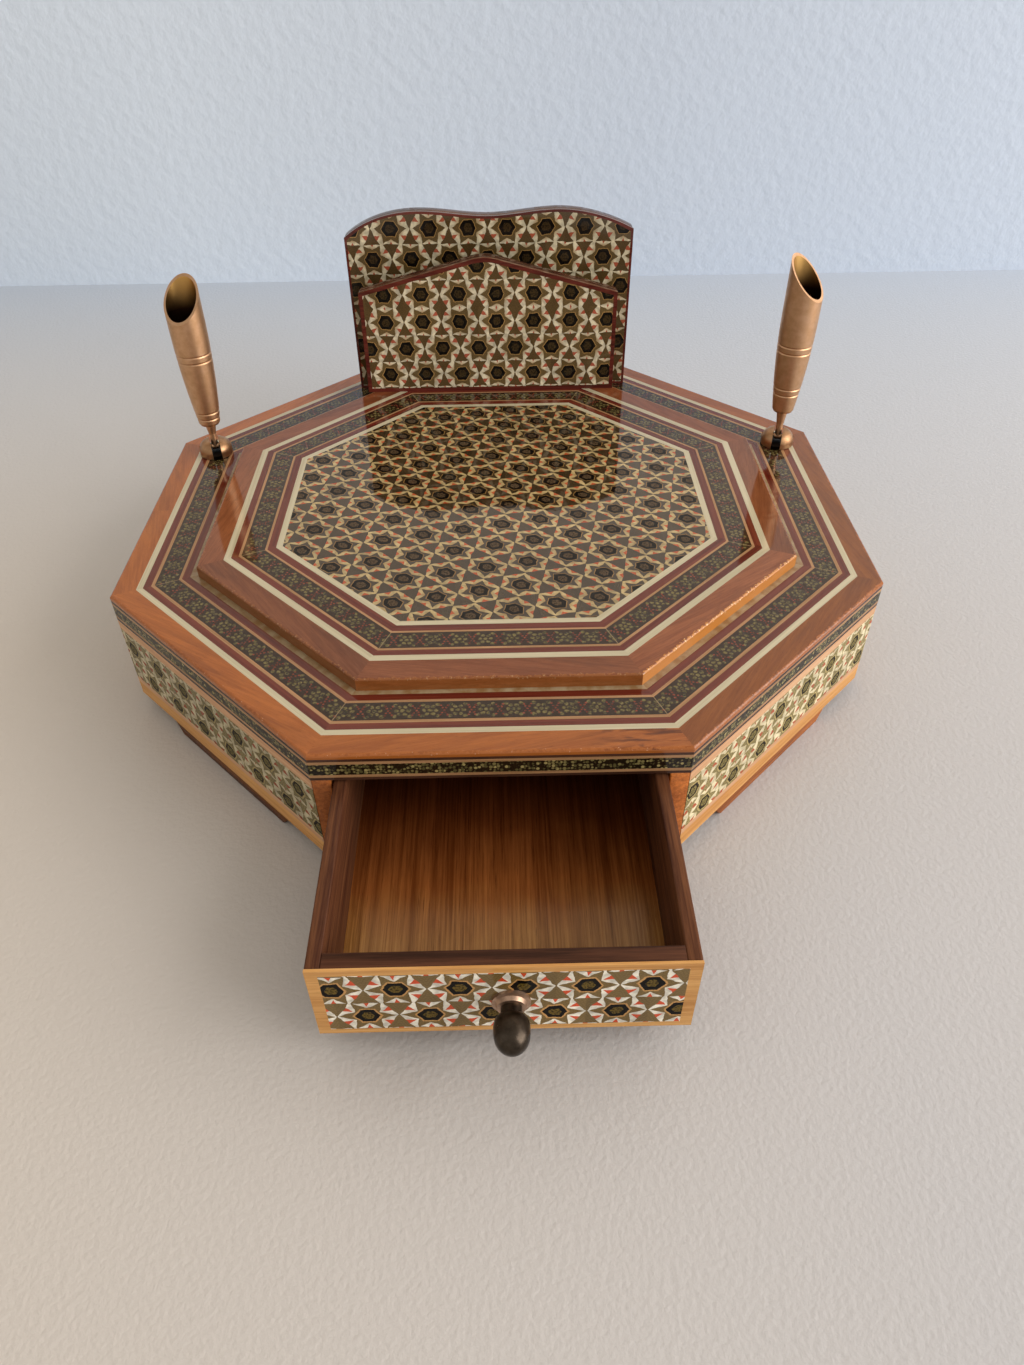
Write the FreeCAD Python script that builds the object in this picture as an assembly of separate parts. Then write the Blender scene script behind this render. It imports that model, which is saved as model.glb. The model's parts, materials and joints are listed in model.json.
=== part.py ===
import FreeCAD, Part
import math
import os

# Desk stand in marquetry: an octagonal box with a drawer in its front side, a low octagonal platform
# on top, a two-panel card holder at the back and two tilting pen funnels on slotted swivel cups.
# Millimetres, +Z up. Sizes are worked out about the middle of the box, with +Y to the back; save()
# then shifts every piece so that the origin is the bottom centre of the whole stand at rest, with its
# drawer pulled out.

V = FreeCAD.Vector
UP = V(0, 0, 1)
RIGHT = V(1, 0, 0)
BACK = V(0, 1, 0)

# ---- box: a cored octagon clad all round with glued strips ----
across_flats = 250.0
bottom_board_thickness = 3.0
wall_thickness = 6.0
cladding_thickness = 2.0

moulding_height = 5.5            # strips round the outside, from the bottom up
bead_height = 2.1
wall_khatam_height = 20.9
light_strip_height = 3.4
edge_dark_height = 1.0
edge_natural_height = 1.0
edge_khatam_height = 4.0

foot_height = 5.5
foot_length = 66.0
foot_end_taper = 4.5
foot_depth = 12.0
foot_setback = 0.4

# ---- mitred bands on the top, from the edge inwards ----
inlay_thickness = 1.6
border_width = 7.7
border_edge_radius = 0.9
cream_width = 2.0
maroon_width = 2.4
natural_width = 1.1
khatam_band_width = 7.1
inner_natural_width = 0.95
inner_maroon_width = 2.45
inner_cream_width = 5.0          # it runs on under the platform

# ---- platform ----
platform_across_flats = 196.8
platform_setoff = 1.2            # of its middle from the middle of the box, towards the front
platform_rise = 4.2
platform_border_width = 8.2
platform_edge_radius = 0.6
platform_cream_width = 2.3
platform_maroon_width = 2.3
platform_natural_width = 0.9
platform_khatam_width = 7.2
platform_inner_natural_width = 0.8
platform_inner_maroon_width = 2.7
platform_inner_cream_width = 2.1

# ---- drawer ----
drawer_pull = 58.0               # how far it stands out at rest
drawer_back_room = 50.0          # from the shut drawer's back to the back of the box
drawer_side_thickness = 3.7
drawer_front_thickness = 4.1
drawer_bottom_thickness = 2.5
drawer_side_clearance = 0.5
drawer_floor_clearance = 0.3
drawer_top_clearance = 1.0
drawer_stop_clearance = 0.3
guide_thickness = 5.5
stop_depth = 10.0
stop_height = 12.0
stop_width = 60.0
facing_thickness = 0.8
facing_top_width = 2.1
facing_side_width = 3.0
facing_bottom_width = 2.0

# ---- drawer knob ----
rosette_radius = 4.7
rosette_thickness = 2.0
neck_radius = 2.6
rosette_rim_height = 0.8         # of its straight rim
rosette_step_radius = 3.9
rosette_step_height = 1.0
rosette_top_radius = 3.5
neck_length = 1.9
egg_radius = 4.35
egg_length = 9.7
egg_shape = ((0.88, 0.1), (1.0, 0.41), (0.84, 0.76), (0.4, 0.955))   # shares of radius and length
knob_offset = 1.5                # to the right of the drawer's middle
knob_drop = 0.4                  # and below it
knob_screw_radius = 1.4
knob_screw_head_radius = 2.8
knob_screw_head_height = 1.6
knob_screw_bite = 7.0            # how deep the screw goes into the knob
fixing_clearance = 0.05

# ---- card holder ----
panel_thickness = 5.0
panel_veneer = 1.2
back_panel_gap = 2.8             # from the platform's back edge to the tall panel's face
back_panel_width = 115.2
back_panel_x = -1.1              # where its middle stands, from the middle of the box
back_left_height = 62.4          # heights of its top line above the top of the box, by hand from
back_right_height = 64.2         # corner to corner
back_shoulder_height = 69.0
back_shoulder_x = 45.5
back_hump_height = 71.8
back_hump_x = 29.0
back_dip_height = 69.7
back_border_width = 1.0
front_panel_inset = 11.1         # from the platform's back edge to the low panel's face
front_panel_x = -1.8             # where its middle stands, from the middle of the box
front_left_height = 45.7
front_right_height = 44.5
front_gable_height = 59.1        # where its two slopes would meet
front_gable_x = -1.5             # and how far from its middle
front_gable_blend = 5.0          # half the width of the rounding between them
front_border_width = 1.6
holder_side_thickness = 4.0
holder_side_height = 37.0
holder_side_inset = 2.4

# ---- pen sockets ----
socket_inset = 14.2              # from the box's left and right sides
socket_shift = 0.6               # of the pair, to the right
socket_corner_setback = 9.1      # in front of the back corners of those sides
socket_lift = 0.2
cup_radius = 6.2
cup_height = 5.7
cup_wall_height = 1.4
cup_top_radius = 2.6
cup_bulge_radius = 5.4           # a point on the dome between its wall and its flat top
cup_bulge_height = 4.2
cup_floor = 1.3
cup_slot_width = 3.4
pivot_height = 3.1               # above the underside of the cup
stud_radius = 2.0
stud_clearance = 0.08
nut_across_flats = 7.0
nut_height = 2.4
pin_radius = 0.7
pin_length = 10.4
pin_clearance = 0.05

# ---- pen funnels, measured up from the pin they tilt on ----
tongue_radius = 1.4
tongue_clearance = 0.3
neck_start = 5.2
funnel_neck_radius = 2.1         # where the neck meets the body's flat foot
body_foot_radius = 3.5
body_foot_height = 0.8           # of the bevel round the foot
body_start_radius = 4.0
swell_height = 47.0              # the body swells out up to here, and is straight above
mouth_radius = 6.6
mouth_cut_angle = 47.0           # from level
funnel_wall = 0.8
funnel_floor = 1.6
ring_spacing = 2.5
ring_width = 0.9
ring_depth = 0.25

# the two funnels were turned by hand, and differ
left_body_start = 10.0
left_low_rings = 13.1
left_high_rings = 35.6
left_mouth_height = 55.9         # of the middle of its slanted mouth
left_slot_yaw = 18.0             # of the slot, from straight back
left_mouth_turn = -31.2          # of the mouth, from the slot
left_tilt = -2.0
right_body_start = 11.2
right_low_rings = 18.9
right_high_rings = 35.2
right_mouth_height = 59.9
right_slot_yaw = -18.0
right_mouth_turn = 63.6
right_tilt = -2.0

# ---- levels and outlines that follow from the sizes above ----
HALF_CORNER = math.tan(math.pi / 8)
apothem = across_flats / 2
core_apothem = apothem - cladding_thickness
half_side = apothem * HALF_CORNER
box_bottom = foot_height
compartment_floor = box_bottom + bottom_board_thickness
bead_bottom = box_bottom + moulding_height
khatam_bottom = bead_bottom + bead_height
strip_bottom = khatam_bottom + wall_khatam_height
banding_bottom = strip_bottom + light_strip_height
banding_height = 2 * edge_dark_height + 2 * edge_natural_height + edge_khatam_height
top_board_top = banding_bottom + banding_height
base_top = top_board_top + inlay_thickness
platform_top = base_top + platform_rise
platform_core_top = platform_top - inlay_thickness

TOP_BANDS = (("cream", cream_width), ("maroon", maroon_width), ("natural", natural_width),
             ("khatam", khatam_band_width), ("natural", inner_natural_width),
             ("maroon", inner_maroon_width), ("cream", inner_cream_width))
top_field_apothem = apothem - border_width - sum(width for kind, width in TOP_BANDS)
platform_apothem = platform_across_flats / 2
platform_back = platform_apothem - platform_setoff
PLATFORM_BANDS = (("cream", platform_cream_width), ("maroon", platform_maroon_width),
                  ("natural", platform_natural_width), ("khatam", platform_khatam_width),
                  ("natural", platform_inner_natural_width), ("maroon", platform_inner_maroon_width),
                  ("cream", platform_inner_cream_width))

# one after the other round the box, starting from +X
SIDES = ("right", "back_right", "back", "back_left", "left", "front_left", "front", "front_right")
CLAD_SIDES = [name for name in SIDES if name != "front"]

drawer_bottom_z = compartment_floor + drawer_floor_clearance
drawer_top_z = banding_bottom - drawer_top_clearance
drawer_half_width = half_side - guide_thickness - drawer_side_clearance
drawer_inner_half = drawer_half_width - drawer_side_thickness
drawer_length = across_flats - drawer_back_room
facing_y = -apothem - drawer_pull
front_board_y = facing_y + facing_thickness
drawer_back_y = facing_y + drawer_length
knob_z = (drawer_bottom_z + drawer_top_z) / 2 - knob_drop
knob_length = rosette_thickness + neck_length + egg_length

back_panel_y = platform_back + back_panel_gap
front_panel_y = platform_back - front_panel_inset
# the low panel's lower corners stand on the edges of the platform's slanting sides
front_panel_width = 2 * (platform_apothem * math.sqrt(2) - platform_setoff - front_panel_y)

socket_y = half_side - socket_corner_setback
pivot_z = base_top + socket_lift + pivot_height

# The box is centred on Y = 0 and the knob stands out in front of it.
origin_shift = (drawer_pull + knob_length) / 2


def side_angle(name):
    """Which way a side faces, in degrees round from +X."""
    return 45 * SIDES.index(name)


def save(name, *solids):
    """Write one node: its solids, moved into the frame of the whole stand."""
    shape = solids[0] if len(solids) == 1 else Part.makeCompound(list(solids))
    shape = shape.copy()
    shape.translate(V(0, origin_shift, 0))
    shape.exportStep("parts/" + name + ".step")


def box(low, high):
    """A block between two opposite corners."""
    low, high = V(*low), V(*high)
    size = high - low
    return Part.makeBox(size.x, size.y, size.z, low)


def prism(points, path):
    """The closed outline through points, pushed along path."""
    outline = Part.makePolygon(points + points[:1])
    return Part.Face(outline).extrude(path)


def octagon(radius, low, high):
    """An upright octagonal board whose flat sides are radius from its axis."""
    corner = radius / math.cos(math.pi / 8)
    angles = [math.radians(22.5 + 45 * i) for i in range(8)]
    points = [V(corner * math.cos(a), corner * math.sin(a), low) for a in angles]
    return prism(points, V(0, 0, high - low))


def mitred_strip(angle, radius, width, low, high):
    """One strip of an octagonal band: outer face at radius, ends cut to the mitre."""
    inner = radius - width
    points = [V(inner, -inner * HALF_CORNER, low), V(radius, -radius * HALF_CORNER, low),
              V(radius, radius * HALF_CORNER, low), V(inner, inner * HALF_CORNER, low)]
    strip = prism(points, V(0, 0, high - low))
    strip.rotate(V(), UP, angle)
    return strip


def band(radius, width, low, high):
    """The eight mitred strips of one band."""
    return [mitred_strip(side_angle(name), radius, width, low, high) for name in SIDES]


def cut_all(solids, tools):
    """Every solid with every tool taken out of it."""
    return [solid.cut(tools) for solid in solids]


def rounded_border(radius, width, low, high, fillet):
    """The eight strips of a border, each with the long top edge of its outer face rounded."""
    return [round_outer_edge(strip, side_angle(name), radius, high, fillet)
            for name, strip in zip(SIDES, band(radius, width, low, high))]


def round_outer_edge(strip, angle, radius, height, fillet):
    """A strip with the long top edge of its outer face rounded."""
    normal = V(math.cos(math.radians(angle)), math.sin(math.radians(angle)), 0)
    edges = []
    for edge in strip.Edges:
        ends = [vertex.Point for vertex in edge.Vertexes]
        if all(abs(end.z - height) < 0.01 and abs(end.dot(normal) - radius) < 0.01 for end in ends):
            edges.append(edge)
    return strip.makeFillet(fillet, edges)


def chain(points):
    """Straight edges from point to point, given as (radius, height) pairs."""
    return [Part.makeLine(V(start[0], 0, start[1]), V(end[0], 0, end[1]))
            for start, end in zip(points, points[1:])]


def turned(profile):
    """A turned piece from its closed half outline, given as (radius, height) pairs."""
    return revolve(chain(profile))


def revolve(edges):
    """A solid of revolution about the Z axis from edges that join up into a closed half outline."""
    face = Part.Face(Part.Wire(edges))
    solid = face.revolve(V(), UP, 360)
    return Part.Solid(solid) if solid.ShapeType == "Shell" else solid


# ---- the box: boards, feet and drawer guides ----
def drawer_guide(side):
    """Board beside the drawer, from the opening to where it meets the slanting back wall."""
    wall_inside = core_apothem - wall_thickness
    back_end = wall_inside * math.sqrt(2) - half_side
    near, far = sorted([side * (half_side - guide_thickness), side * half_side])
    return box((near, -apothem, compartment_floor), (far, back_end, banding_bottom))


def foot(angle):
    """Bar foot under a slanting side, with its ends cut back towards the floor."""
    outer = apothem - foot_setback
    top = foot_length / 2
    sole = top - foot_end_taper
    points = [V(outer, -top, foot_height), V(outer, top, foot_height),
              V(outer, sole, 0), V(outer, -sole, 0)]
    bar = prism(points, V(-foot_depth, 0, 0))
    bar.rotate(V(), UP, angle)
    return bar


def build_box(stud_holes):
    guides = {name: drawer_guide(side) for name, side in (("left", -1), ("right", 1))}
    both_guides = Part.makeCompound(list(guides.values()))
    save("bottom_board", octagon(core_apothem, box_bottom, compartment_floor))
    for name in CLAD_SIDES:
        wall = mitred_strip(side_angle(name), core_apothem, wall_thickness,
                            compartment_floor, banding_bottom)
        save(name + "_wall", wall.cut(both_guides))
    for name, guide in guides.items():
        save(name + "_drawer_guide", guide)
    stop_y = drawer_back_y + drawer_pull + drawer_stop_clearance
    save("drawer_stop", box((-stop_width / 2, stop_y, compartment_floor),
                            (stop_width / 2, stop_y + stop_depth, compartment_floor + stop_height)))
    top_board = octagon(core_apothem, banding_bottom, top_board_top)
    save("top_board", top_board.cut(stud_holes))
    for name in ("front_left", "front_right", "back_left", "back_right"):
        save(name + "_foot", foot(side_angle(name)))
    return both_guides


# ---- strips glued round the outside ----
def clad(low, high, guides):
    strips = [mitred_strip(side_angle(name), apothem, cladding_thickness, low, high)
              for name in CLAD_SIDES]
    return cut_all(strips, guides)


def build_cladding(guides):
    threshold = box((-half_side, -apothem, box_bottom), (half_side, -core_apothem, compartment_floor))
    mouldings = clad(box_bottom, bead_bottom, guides)
    save("lower_moulding", *[strip.cut(threshold) for strip in mouldings], threshold)
    beads = clad(bead_bottom, khatam_bottom, guides)
    strips = clad(strip_bottom, banding_bottom, guides)
    save("wall_light_strips", *beads, *strips)
    save("wall_khatam_panels", *clad(khatam_bottom, strip_bottom, guides))

    layers = (("dark", edge_dark_height), ("natural", edge_natural_height),
              ("khatam", edge_khatam_height), ("natural", edge_natural_height),
              ("dark", edge_dark_height))
    banding = {"dark": [], "natural": [], "khatam": []}
    level = banding_bottom
    for kind, height in layers:
        banding[kind] += band(apothem, cladding_thickness, level, level + height)
        level += height
    save("edge_dark_lines", *banding["dark"])
    save("edge_natural_lines", *banding["natural"])
    save("edge_khatam_strips", *banding["khatam"])


# ---- mitred bands on the box and on the platform ----
def lay_bands(outer, widths, low, high):
    """Bands side by side from outer inwards: the strips of each kind, and the radius left inside."""
    laid = {}
    radius = outer
    for kind, width in widths:
        laid.setdefault(kind, []).extend(band(radius, width, low, high))
        radius -= width
    return laid, radius


def build_top_bands(stud_holes):
    save("top_border_wood", *rounded_border(apothem, border_width, top_board_top, base_top,
                                            border_edge_radius))
    laid, inside = lay_bands(apothem - border_width, TOP_BANDS, top_board_top, base_top)
    save("top_cream_lines", *cut_all(laid["cream"], stud_holes))
    save("top_maroon_lines", *cut_all(laid["maroon"], stud_holes))
    save("top_natural_lines", *cut_all(laid["natural"], stud_holes))
    save("top_khatam_band", *cut_all(laid["khatam"], stud_holes))


def on_platform(solid):
    """A piece made about the middle of the box, moved to the middle of the platform."""
    solid.translate(V(0, -platform_setoff, 0))
    return solid


def build_platform():
    border = rounded_border(platform_apothem, platform_border_width, base_top, platform_top,
                            platform_edge_radius)
    save("platform_border_wood", *map(on_platform, border))
    inside = platform_apothem - platform_border_width
    # one stepped board: it fills the middle of the top's bands and carries the platform's
    filling = octagon(top_field_apothem, top_board_top, base_top)
    raised = on_platform(octagon(inside, base_top, platform_core_top))
    save("platform_board", filling.fuse(raised).removeSplitter())
    laid, field = lay_bands(inside, PLATFORM_BANDS, platform_core_top, platform_top)
    save("platform_cream_lines", *map(on_platform, laid["cream"]))
    save("platform_maroon_lines", *map(on_platform, laid["maroon"]))
    save("platform_natural_lines", *map(on_platform, laid["natural"]))
    save("platform_khatam_band", *map(on_platform, laid["khatam"]))
    save("platform_khatam_field", on_platform(octagon(field, platform_core_top, platform_top)))


# ---- card holder ----
def back_outline(margin, bottom, y):
    """Outline of the tall panel, margin inside its edge: two low humps with a dip between them."""
    half = back_panel_width / 2 - margin
    top = base_top - margin
    line = [(half, back_right_height), (back_shoulder_x, back_shoulder_height),
            (back_hump_x, back_hump_height), (0, back_dip_height), (-back_hump_x, back_hump_height),
            (-back_shoulder_x, back_shoulder_height), (-half, back_left_height)]
    points = [V(back_panel_x + x, y, top + height) for x, height in line]
    crest = Part.BSplineCurve()
    crest.interpolate(points)
    low_right, low_left = V(points[0].x, y, bottom), V(points[-1].x, y, bottom)
    return Part.Wire([crest.toShape(), Part.makeLine(points[-1], low_left),
                      Part.makeLine(low_left, low_right), Part.makeLine(low_right, points[0])])


def front_outline(margin, bottom, y):
    """Outline of the low panel, margin inside its edge: a shallow gable with a rounded peak."""
    peak_x = front_panel_x + front_gable_x
    ends = []
    for side, corner_height in ((1, front_right_height), (-1, front_left_height)):
        corner_x = front_panel_x + side * front_panel_width / 2
        slope = (front_gable_height - corner_height) / abs(corner_x - peak_x)
        inner_x = corner_x - side * margin
        peak_z = base_top + front_gable_height - margin / math.cos(math.atan(slope))
        ends.append((V(inner_x, y, peak_z - slope * abs(inner_x - peak_x)),
                     V(peak_x + side * front_gable_blend, y, peak_z - slope * front_gable_blend)))
    (right, blend_right), (left, blend_left) = ends
    crown = Part.BezierCurve()
    crown.setPoles([blend_right, V(peak_x, y, peak_z), blend_left])
    low_right, low_left = V(right.x, y, bottom), V(left.x, y, bottom)
    return Part.Wire([Part.makeLine(right, blend_right), crown.toShape(), Part.makeLine(blend_left, left),
                      Part.makeLine(left, low_left), Part.makeLine(low_left, low_right),
                      Part.makeLine(low_right, right)])


def panel_layer(outline, thickness):
    return Part.Face(outline).extrude(V(0, thickness, 0))


def build_holder():
    foot_z = base_top
    board_y = back_panel_y + panel_veneer
    save("holder_back_panel", panel_layer(back_outline(0, foot_z, board_y), panel_thickness))
    whole = panel_layer(back_outline(0, foot_z, back_panel_y), panel_veneer)
    field = panel_layer(back_outline(back_border_width, foot_z + back_border_width, back_panel_y),
                        panel_veneer)
    save("holder_back_veneer", field)
    save("holder_back_border", whole.cut(field))

    foot_z = platform_top
    board_y = front_panel_y + panel_veneer
    save("holder_front_panel", panel_layer(front_outline(0, foot_z, board_y), panel_thickness))
    whole = panel_layer(front_outline(0, foot_z, front_panel_y), panel_veneer)
    field = panel_layer(front_outline(front_border_width, foot_z + front_border_width, front_panel_y),
                        panel_veneer)
    save("holder_front_veneer", field)
    save("holder_front_border", whole.cut(field))

    pocket_front = board_y + panel_thickness
    outer = front_panel_width / 2 - holder_side_inset
    platform = on_platform(octagon(platform_apothem, base_top, platform_top))
    for name, side in (("left", -1), ("right", 1)):
        near, far = sorted([front_panel_x + side * outer,
                            front_panel_x + side * (outer - holder_side_thickness)])
        end = box((near, pocket_front, base_top),
                  (far, back_panel_y, platform_top + holder_side_height))
        save("holder_" + name + "_side", end.cut(platform))


# ---- drawer ----
def build_drawer():
    low, high = drawer_bottom_z, drawer_top_z
    outer, inner = drawer_half_width, drawer_inner_half
    front_inside = front_board_y + drawer_front_thickness
    back_inside = drawer_back_y - drawer_side_thickness
    screw_hole = Part.makeCylinder(knob_screw_radius + fixing_clearance,
                                   facing_thickness + drawer_front_thickness,
                                   V(knob_offset, facing_y, knob_z), BACK)

    front = box((-inner, front_board_y, low), (inner, front_inside, high))
    save("drawer_front", front.cut(screw_hole))
    save("drawer_left_side", box((-outer, front_board_y, low), (-inner, drawer_back_y, high)))
    save("drawer_right_side", box((inner, front_board_y, low), (outer, drawer_back_y, high)))
    save("drawer_back", box((-inner, back_inside, low), (inner, drawer_back_y, high)))
    floor_top = low + drawer_bottom_thickness
    save("drawer_bottom", box((-inner, front_inside, low), (inner, back_inside, floor_top)))

    field_half = outer - facing_side_width
    field_low = low + facing_bottom_width
    field_high = high - facing_top_width
    frame = [box((-outer, facing_y, low), (-field_half, front_board_y, high)),
             box((field_half, facing_y, low), (outer, front_board_y, high)),
             box((-field_half, facing_y, field_high), (field_half, front_board_y, high)),
             box((-field_half, facing_y, low), (field_half, front_board_y, field_low))]
    save("drawer_front_frame", *frame)
    field = box((-field_half, facing_y, field_low), (field_half, front_board_y, field_high))
    save("drawer_front_khatam", field.cut(screw_hole))
    build_knob(front_inside)


def stand_on_facing(solid):
    """A piece turned about Z, laid down so that its foot is on the drawer's face."""
    solid.rotate(V(), RIGHT, 90)
    solid.translate(V(knob_offset, facing_y, knob_z))
    return solid


def build_knob(front_inside):
    hole_radius = knob_screw_radius + fixing_clearance
    rosette = turned([(hole_radius, 0), (rosette_radius, 0), (rosette_radius, rosette_rim_height),
                      (rosette_step_radius, rosette_step_height), (rosette_top_radius, rosette_thickness),
                      (hole_radius, rosette_thickness), (hole_radius, 0)])
    save("knob_rosette", stand_on_facing(rosette))

    foot_z = rosette_thickness
    egg_start = foot_z + neck_length
    tip = egg_start + egg_length
    shape = [V(egg_radius * wide, 0, egg_start + egg_length * along) for wide, along in egg_shape]
    egg = Part.BSplineCurve()
    egg.interpolate([V(neck_radius, 0, egg_start)] + shape + [V(0, 0, tip)])
    knob = revolve([Part.makeLine(V(0, 0, foot_z), V(neck_radius, 0, foot_z)),
                    Part.makeLine(V(neck_radius, 0, foot_z), V(neck_radius, 0, egg_start)),
                    egg.toShape(), Part.makeLine(V(0, 0, tip), V(0, 0, foot_z))])
    bite = Part.makeCylinder(hole_radius, knob_screw_bite - foot_z + fixing_clearance, V(0, 0, foot_z))
    save("drawer_knob", stand_on_facing(knob.cut(bite)))

    shank_start = facing_y - front_inside
    head = Part.makeCylinder(knob_screw_head_radius, knob_screw_head_height,
                             V(0, 0, shank_start - knob_screw_head_height))
    shank = Part.makeCylinder(knob_screw_radius, knob_screw_bite - shank_start, V(0, 0, shank_start))
    save("knob_screw", stand_on_facing(head.fuse(shank).removeSplitter()))


# ---- pen sockets: a slotted cup on a stud, and a funnel that tilts in its slot ----
def socket_x(side):
    return side * (apothem - socket_inset) + socket_shift


def place(solid, side, yaw, tilt, height):
    """A piece made upright on its own axis, tilted back by tilt, turned by yaw and set on its corner."""
    solid.rotate(V(), RIGHT, tilt)
    solid.rotate(V(), UP, yaw)
    solid.translate(V(socket_x(side), socket_y, height))
    return solid


def swivel_cup():
    """A domed cup on a stud, with a slot across it and the cross hole for the pin."""
    shoulder = Part.Arc(V(cup_radius, 0, cup_wall_height), V(cup_bulge_radius, 0, cup_bulge_height),
                        V(cup_top_radius, 0, cup_height)).toShape()
    dome = revolve([Part.makeLine(V(), V(cup_radius, 0, 0)),
                    Part.makeLine(V(cup_radius, 0, 0), V(cup_radius, 0, cup_wall_height)), shoulder,
                    Part.makeLine(V(cup_top_radius, 0, cup_height), V(0, 0, cup_height)),
                    Part.makeLine(V(0, 0, cup_height), V())])
    slot = box((-cup_slot_width / 2, -2 * cup_radius, cup_floor),
               (cup_slot_width / 2, 2 * cup_radius, 2 * cup_height))
    cross = Part.makeCylinder(pin_radius + pin_clearance, 4 * cup_radius,
                              V(-2 * cup_radius, 0, pivot_height), RIGHT)
    stud_length = 2 * socket_lift + inlay_thickness + banding_height + nut_height
    stud = Part.makeCylinder(stud_radius, stud_length, V(0, 0, -stud_length))
    return dome.cut(slot).cut(cross).fuse(stud).removeSplitter()


def cup_nut():
    """The hexagon nut on the lower end of the stud."""
    corner = nut_across_flats / 2 / math.cos(math.pi / 6)
    top = -(2 * socket_lift + inlay_thickness + banding_height)
    points = [V(corner * math.cos(math.radians(60 * i)), corner * math.sin(math.radians(60 * i)), top)
              for i in range(6)]
    nut = prism(points, V(0, 0, -nut_height))
    hole = Part.makeCylinder(stud_radius + fixing_clearance, nut_height, V(0, 0, top - nut_height))
    return nut.cut(hole)


def cross_pin():
    return Part.makeCylinder(pin_radius, pin_length, V(-pin_length / 2, 0, pivot_height), RIGHT)


def funnel_radius(height, body_start):
    """Outside radius of the funnel: swelling out more and more gently, then straight."""
    left_over = max(0, (swell_height - height) / (swell_height - body_start))
    return mouth_radius - (mouth_radius - body_start_radius) * left_over ** 2


def funnel_side(body_start, low, top, inset):
    """Edges up the side of the body, inset inside it, from low to top."""
    middle = (body_start + swell_height) / 2
    swell = Part.BezierCurve()
    swell.setPoles([V(body_start_radius - inset, 0, body_start), V(mouth_radius - inset, 0, middle),
                    V(mouth_radius - inset, 0, swell_height)])
    share = (low - body_start) / (swell_height - body_start)
    return [swell.toShape(share, 1),
            Part.makeLine(V(mouth_radius - inset, 0, swell_height), V(mouth_radius - inset, 0, top))]


def pen_funnel(body_start, mouth_height, mouth_turn, ring_heights):
    """A tapered tube with a slanted mouth, ring grooves, a thin neck and a drilled tongue."""
    slant = math.radians(mouth_cut_angle)
    top = mouth_height + 2 * mouth_radius * math.tan(slant)
    foot_z = body_start - body_foot_height
    neck = chain([(0, top), (0, neck_start), (tongue_radius, neck_start), (funnel_neck_radius, foot_z),
                  (body_foot_radius, foot_z), (body_start_radius, body_start)])
    body = revolve(neck + funnel_side(body_start, body_start, top, 0)
                   + chain([(mouth_radius, top), (0, top)]))
    for centre in ring_heights:
        for offset in (-ring_spacing / 2, ring_spacing / 2):
            height = centre + offset
            radius = funnel_radius(height, body_start)
            # the groove is a notch, its sides running on outwards beyond the tube
            slope = ring_width / 2 / ring_depth
            outside = 2 * radius
            flare = (outside - radius + ring_depth) * slope
            groove = turned([(radius - ring_depth, height), (outside, height - flare),
                             (outside, height + flare), (radius - ring_depth, height)])
            body = body.cut(groove)
    floor_z = body_start + funnel_floor
    bore_radius = funnel_radius(floor_z, body_start) - funnel_wall
    bore_top = top + funnel_wall
    bore = revolve(chain([(0, bore_top), (0, floor_z), (bore_radius, floor_z)])
                   + funnel_side(body_start, floor_z, bore_top, funnel_wall)
                   + chain([(mouth_radius - funnel_wall, bore_top), (0, bore_top)]))
    reach = 3 * mouth_radius
    drop = reach * math.tan(slant)
    mouth = prism([V(-reach, -reach, mouth_height - drop), V(-reach, reach, mouth_height + drop),
                   V(-reach, reach, top + drop), V(-reach, -reach, top + drop)], V(2 * reach, 0, 0))
    mouth.rotate(V(), UP, mouth_turn)

    post = Part.makeCylinder(tongue_radius, neck_start, V())
    end = Part.makeCylinder(tongue_radius, 2 * tongue_radius, V(-tongue_radius, 0, 0), RIGHT)
    flat = tongue_radius - tongue_clearance / 2
    blade = box((-flat, -tongue_radius, -tongue_radius), (flat, tongue_radius, neck_start))
    tongue = post.fuse(end).common(blade)
    hole = Part.makeCylinder(pin_radius + pin_clearance, 4 * tongue_radius,
                             V(-2 * tongue_radius, 0, 0), RIGHT)
    return body.cut(bore).cut(mouth).fuse(tongue).cut(hole).removeSplitter()


def build_socket(name, side, yaw, tilt, funnel):
    cup_z = base_top + socket_lift
    save(name + "_swivel_cup", place(swivel_cup(), side, yaw, 0, cup_z))
    save(name + "_cup_nut", place(cup_nut(), side, yaw, 0, cup_z))
    save(name + "_cross_pin", place(cross_pin(), side, yaw, 0, cup_z))
    save(name + "_pen_funnel", place(funnel, side, yaw, tilt, pivot_z))


def stud_holes():
    """The two holes through the top for the cups' studs."""
    holes = [Part.makeCylinder(stud_radius + stud_clearance, banding_height + inlay_thickness,
                               V(socket_x(side), socket_y, banding_bottom)) for side in (-1, 1)]
    return Part.makeCompound(holes)


os.makedirs("parts", exist_ok=True)
holes = stud_holes()
guides = build_box(holes)
build_cladding(guides)
build_top_bands(holes)
build_platform()
build_holder()
build_drawer()
build_socket("left", -1, left_slot_yaw, left_tilt,
             pen_funnel(left_body_start, left_mouth_height, left_mouth_turn,
                        (left_low_rings, left_high_rings)))
build_socket("right", 1, right_slot_yaw, right_tilt,
             pen_funnel(right_body_start, right_mouth_height, right_mouth_turn,
                        (right_low_rings, right_high_rings)))
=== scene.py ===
import json
import math

import bpy
from mathutils import Matrix, Vector


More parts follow.
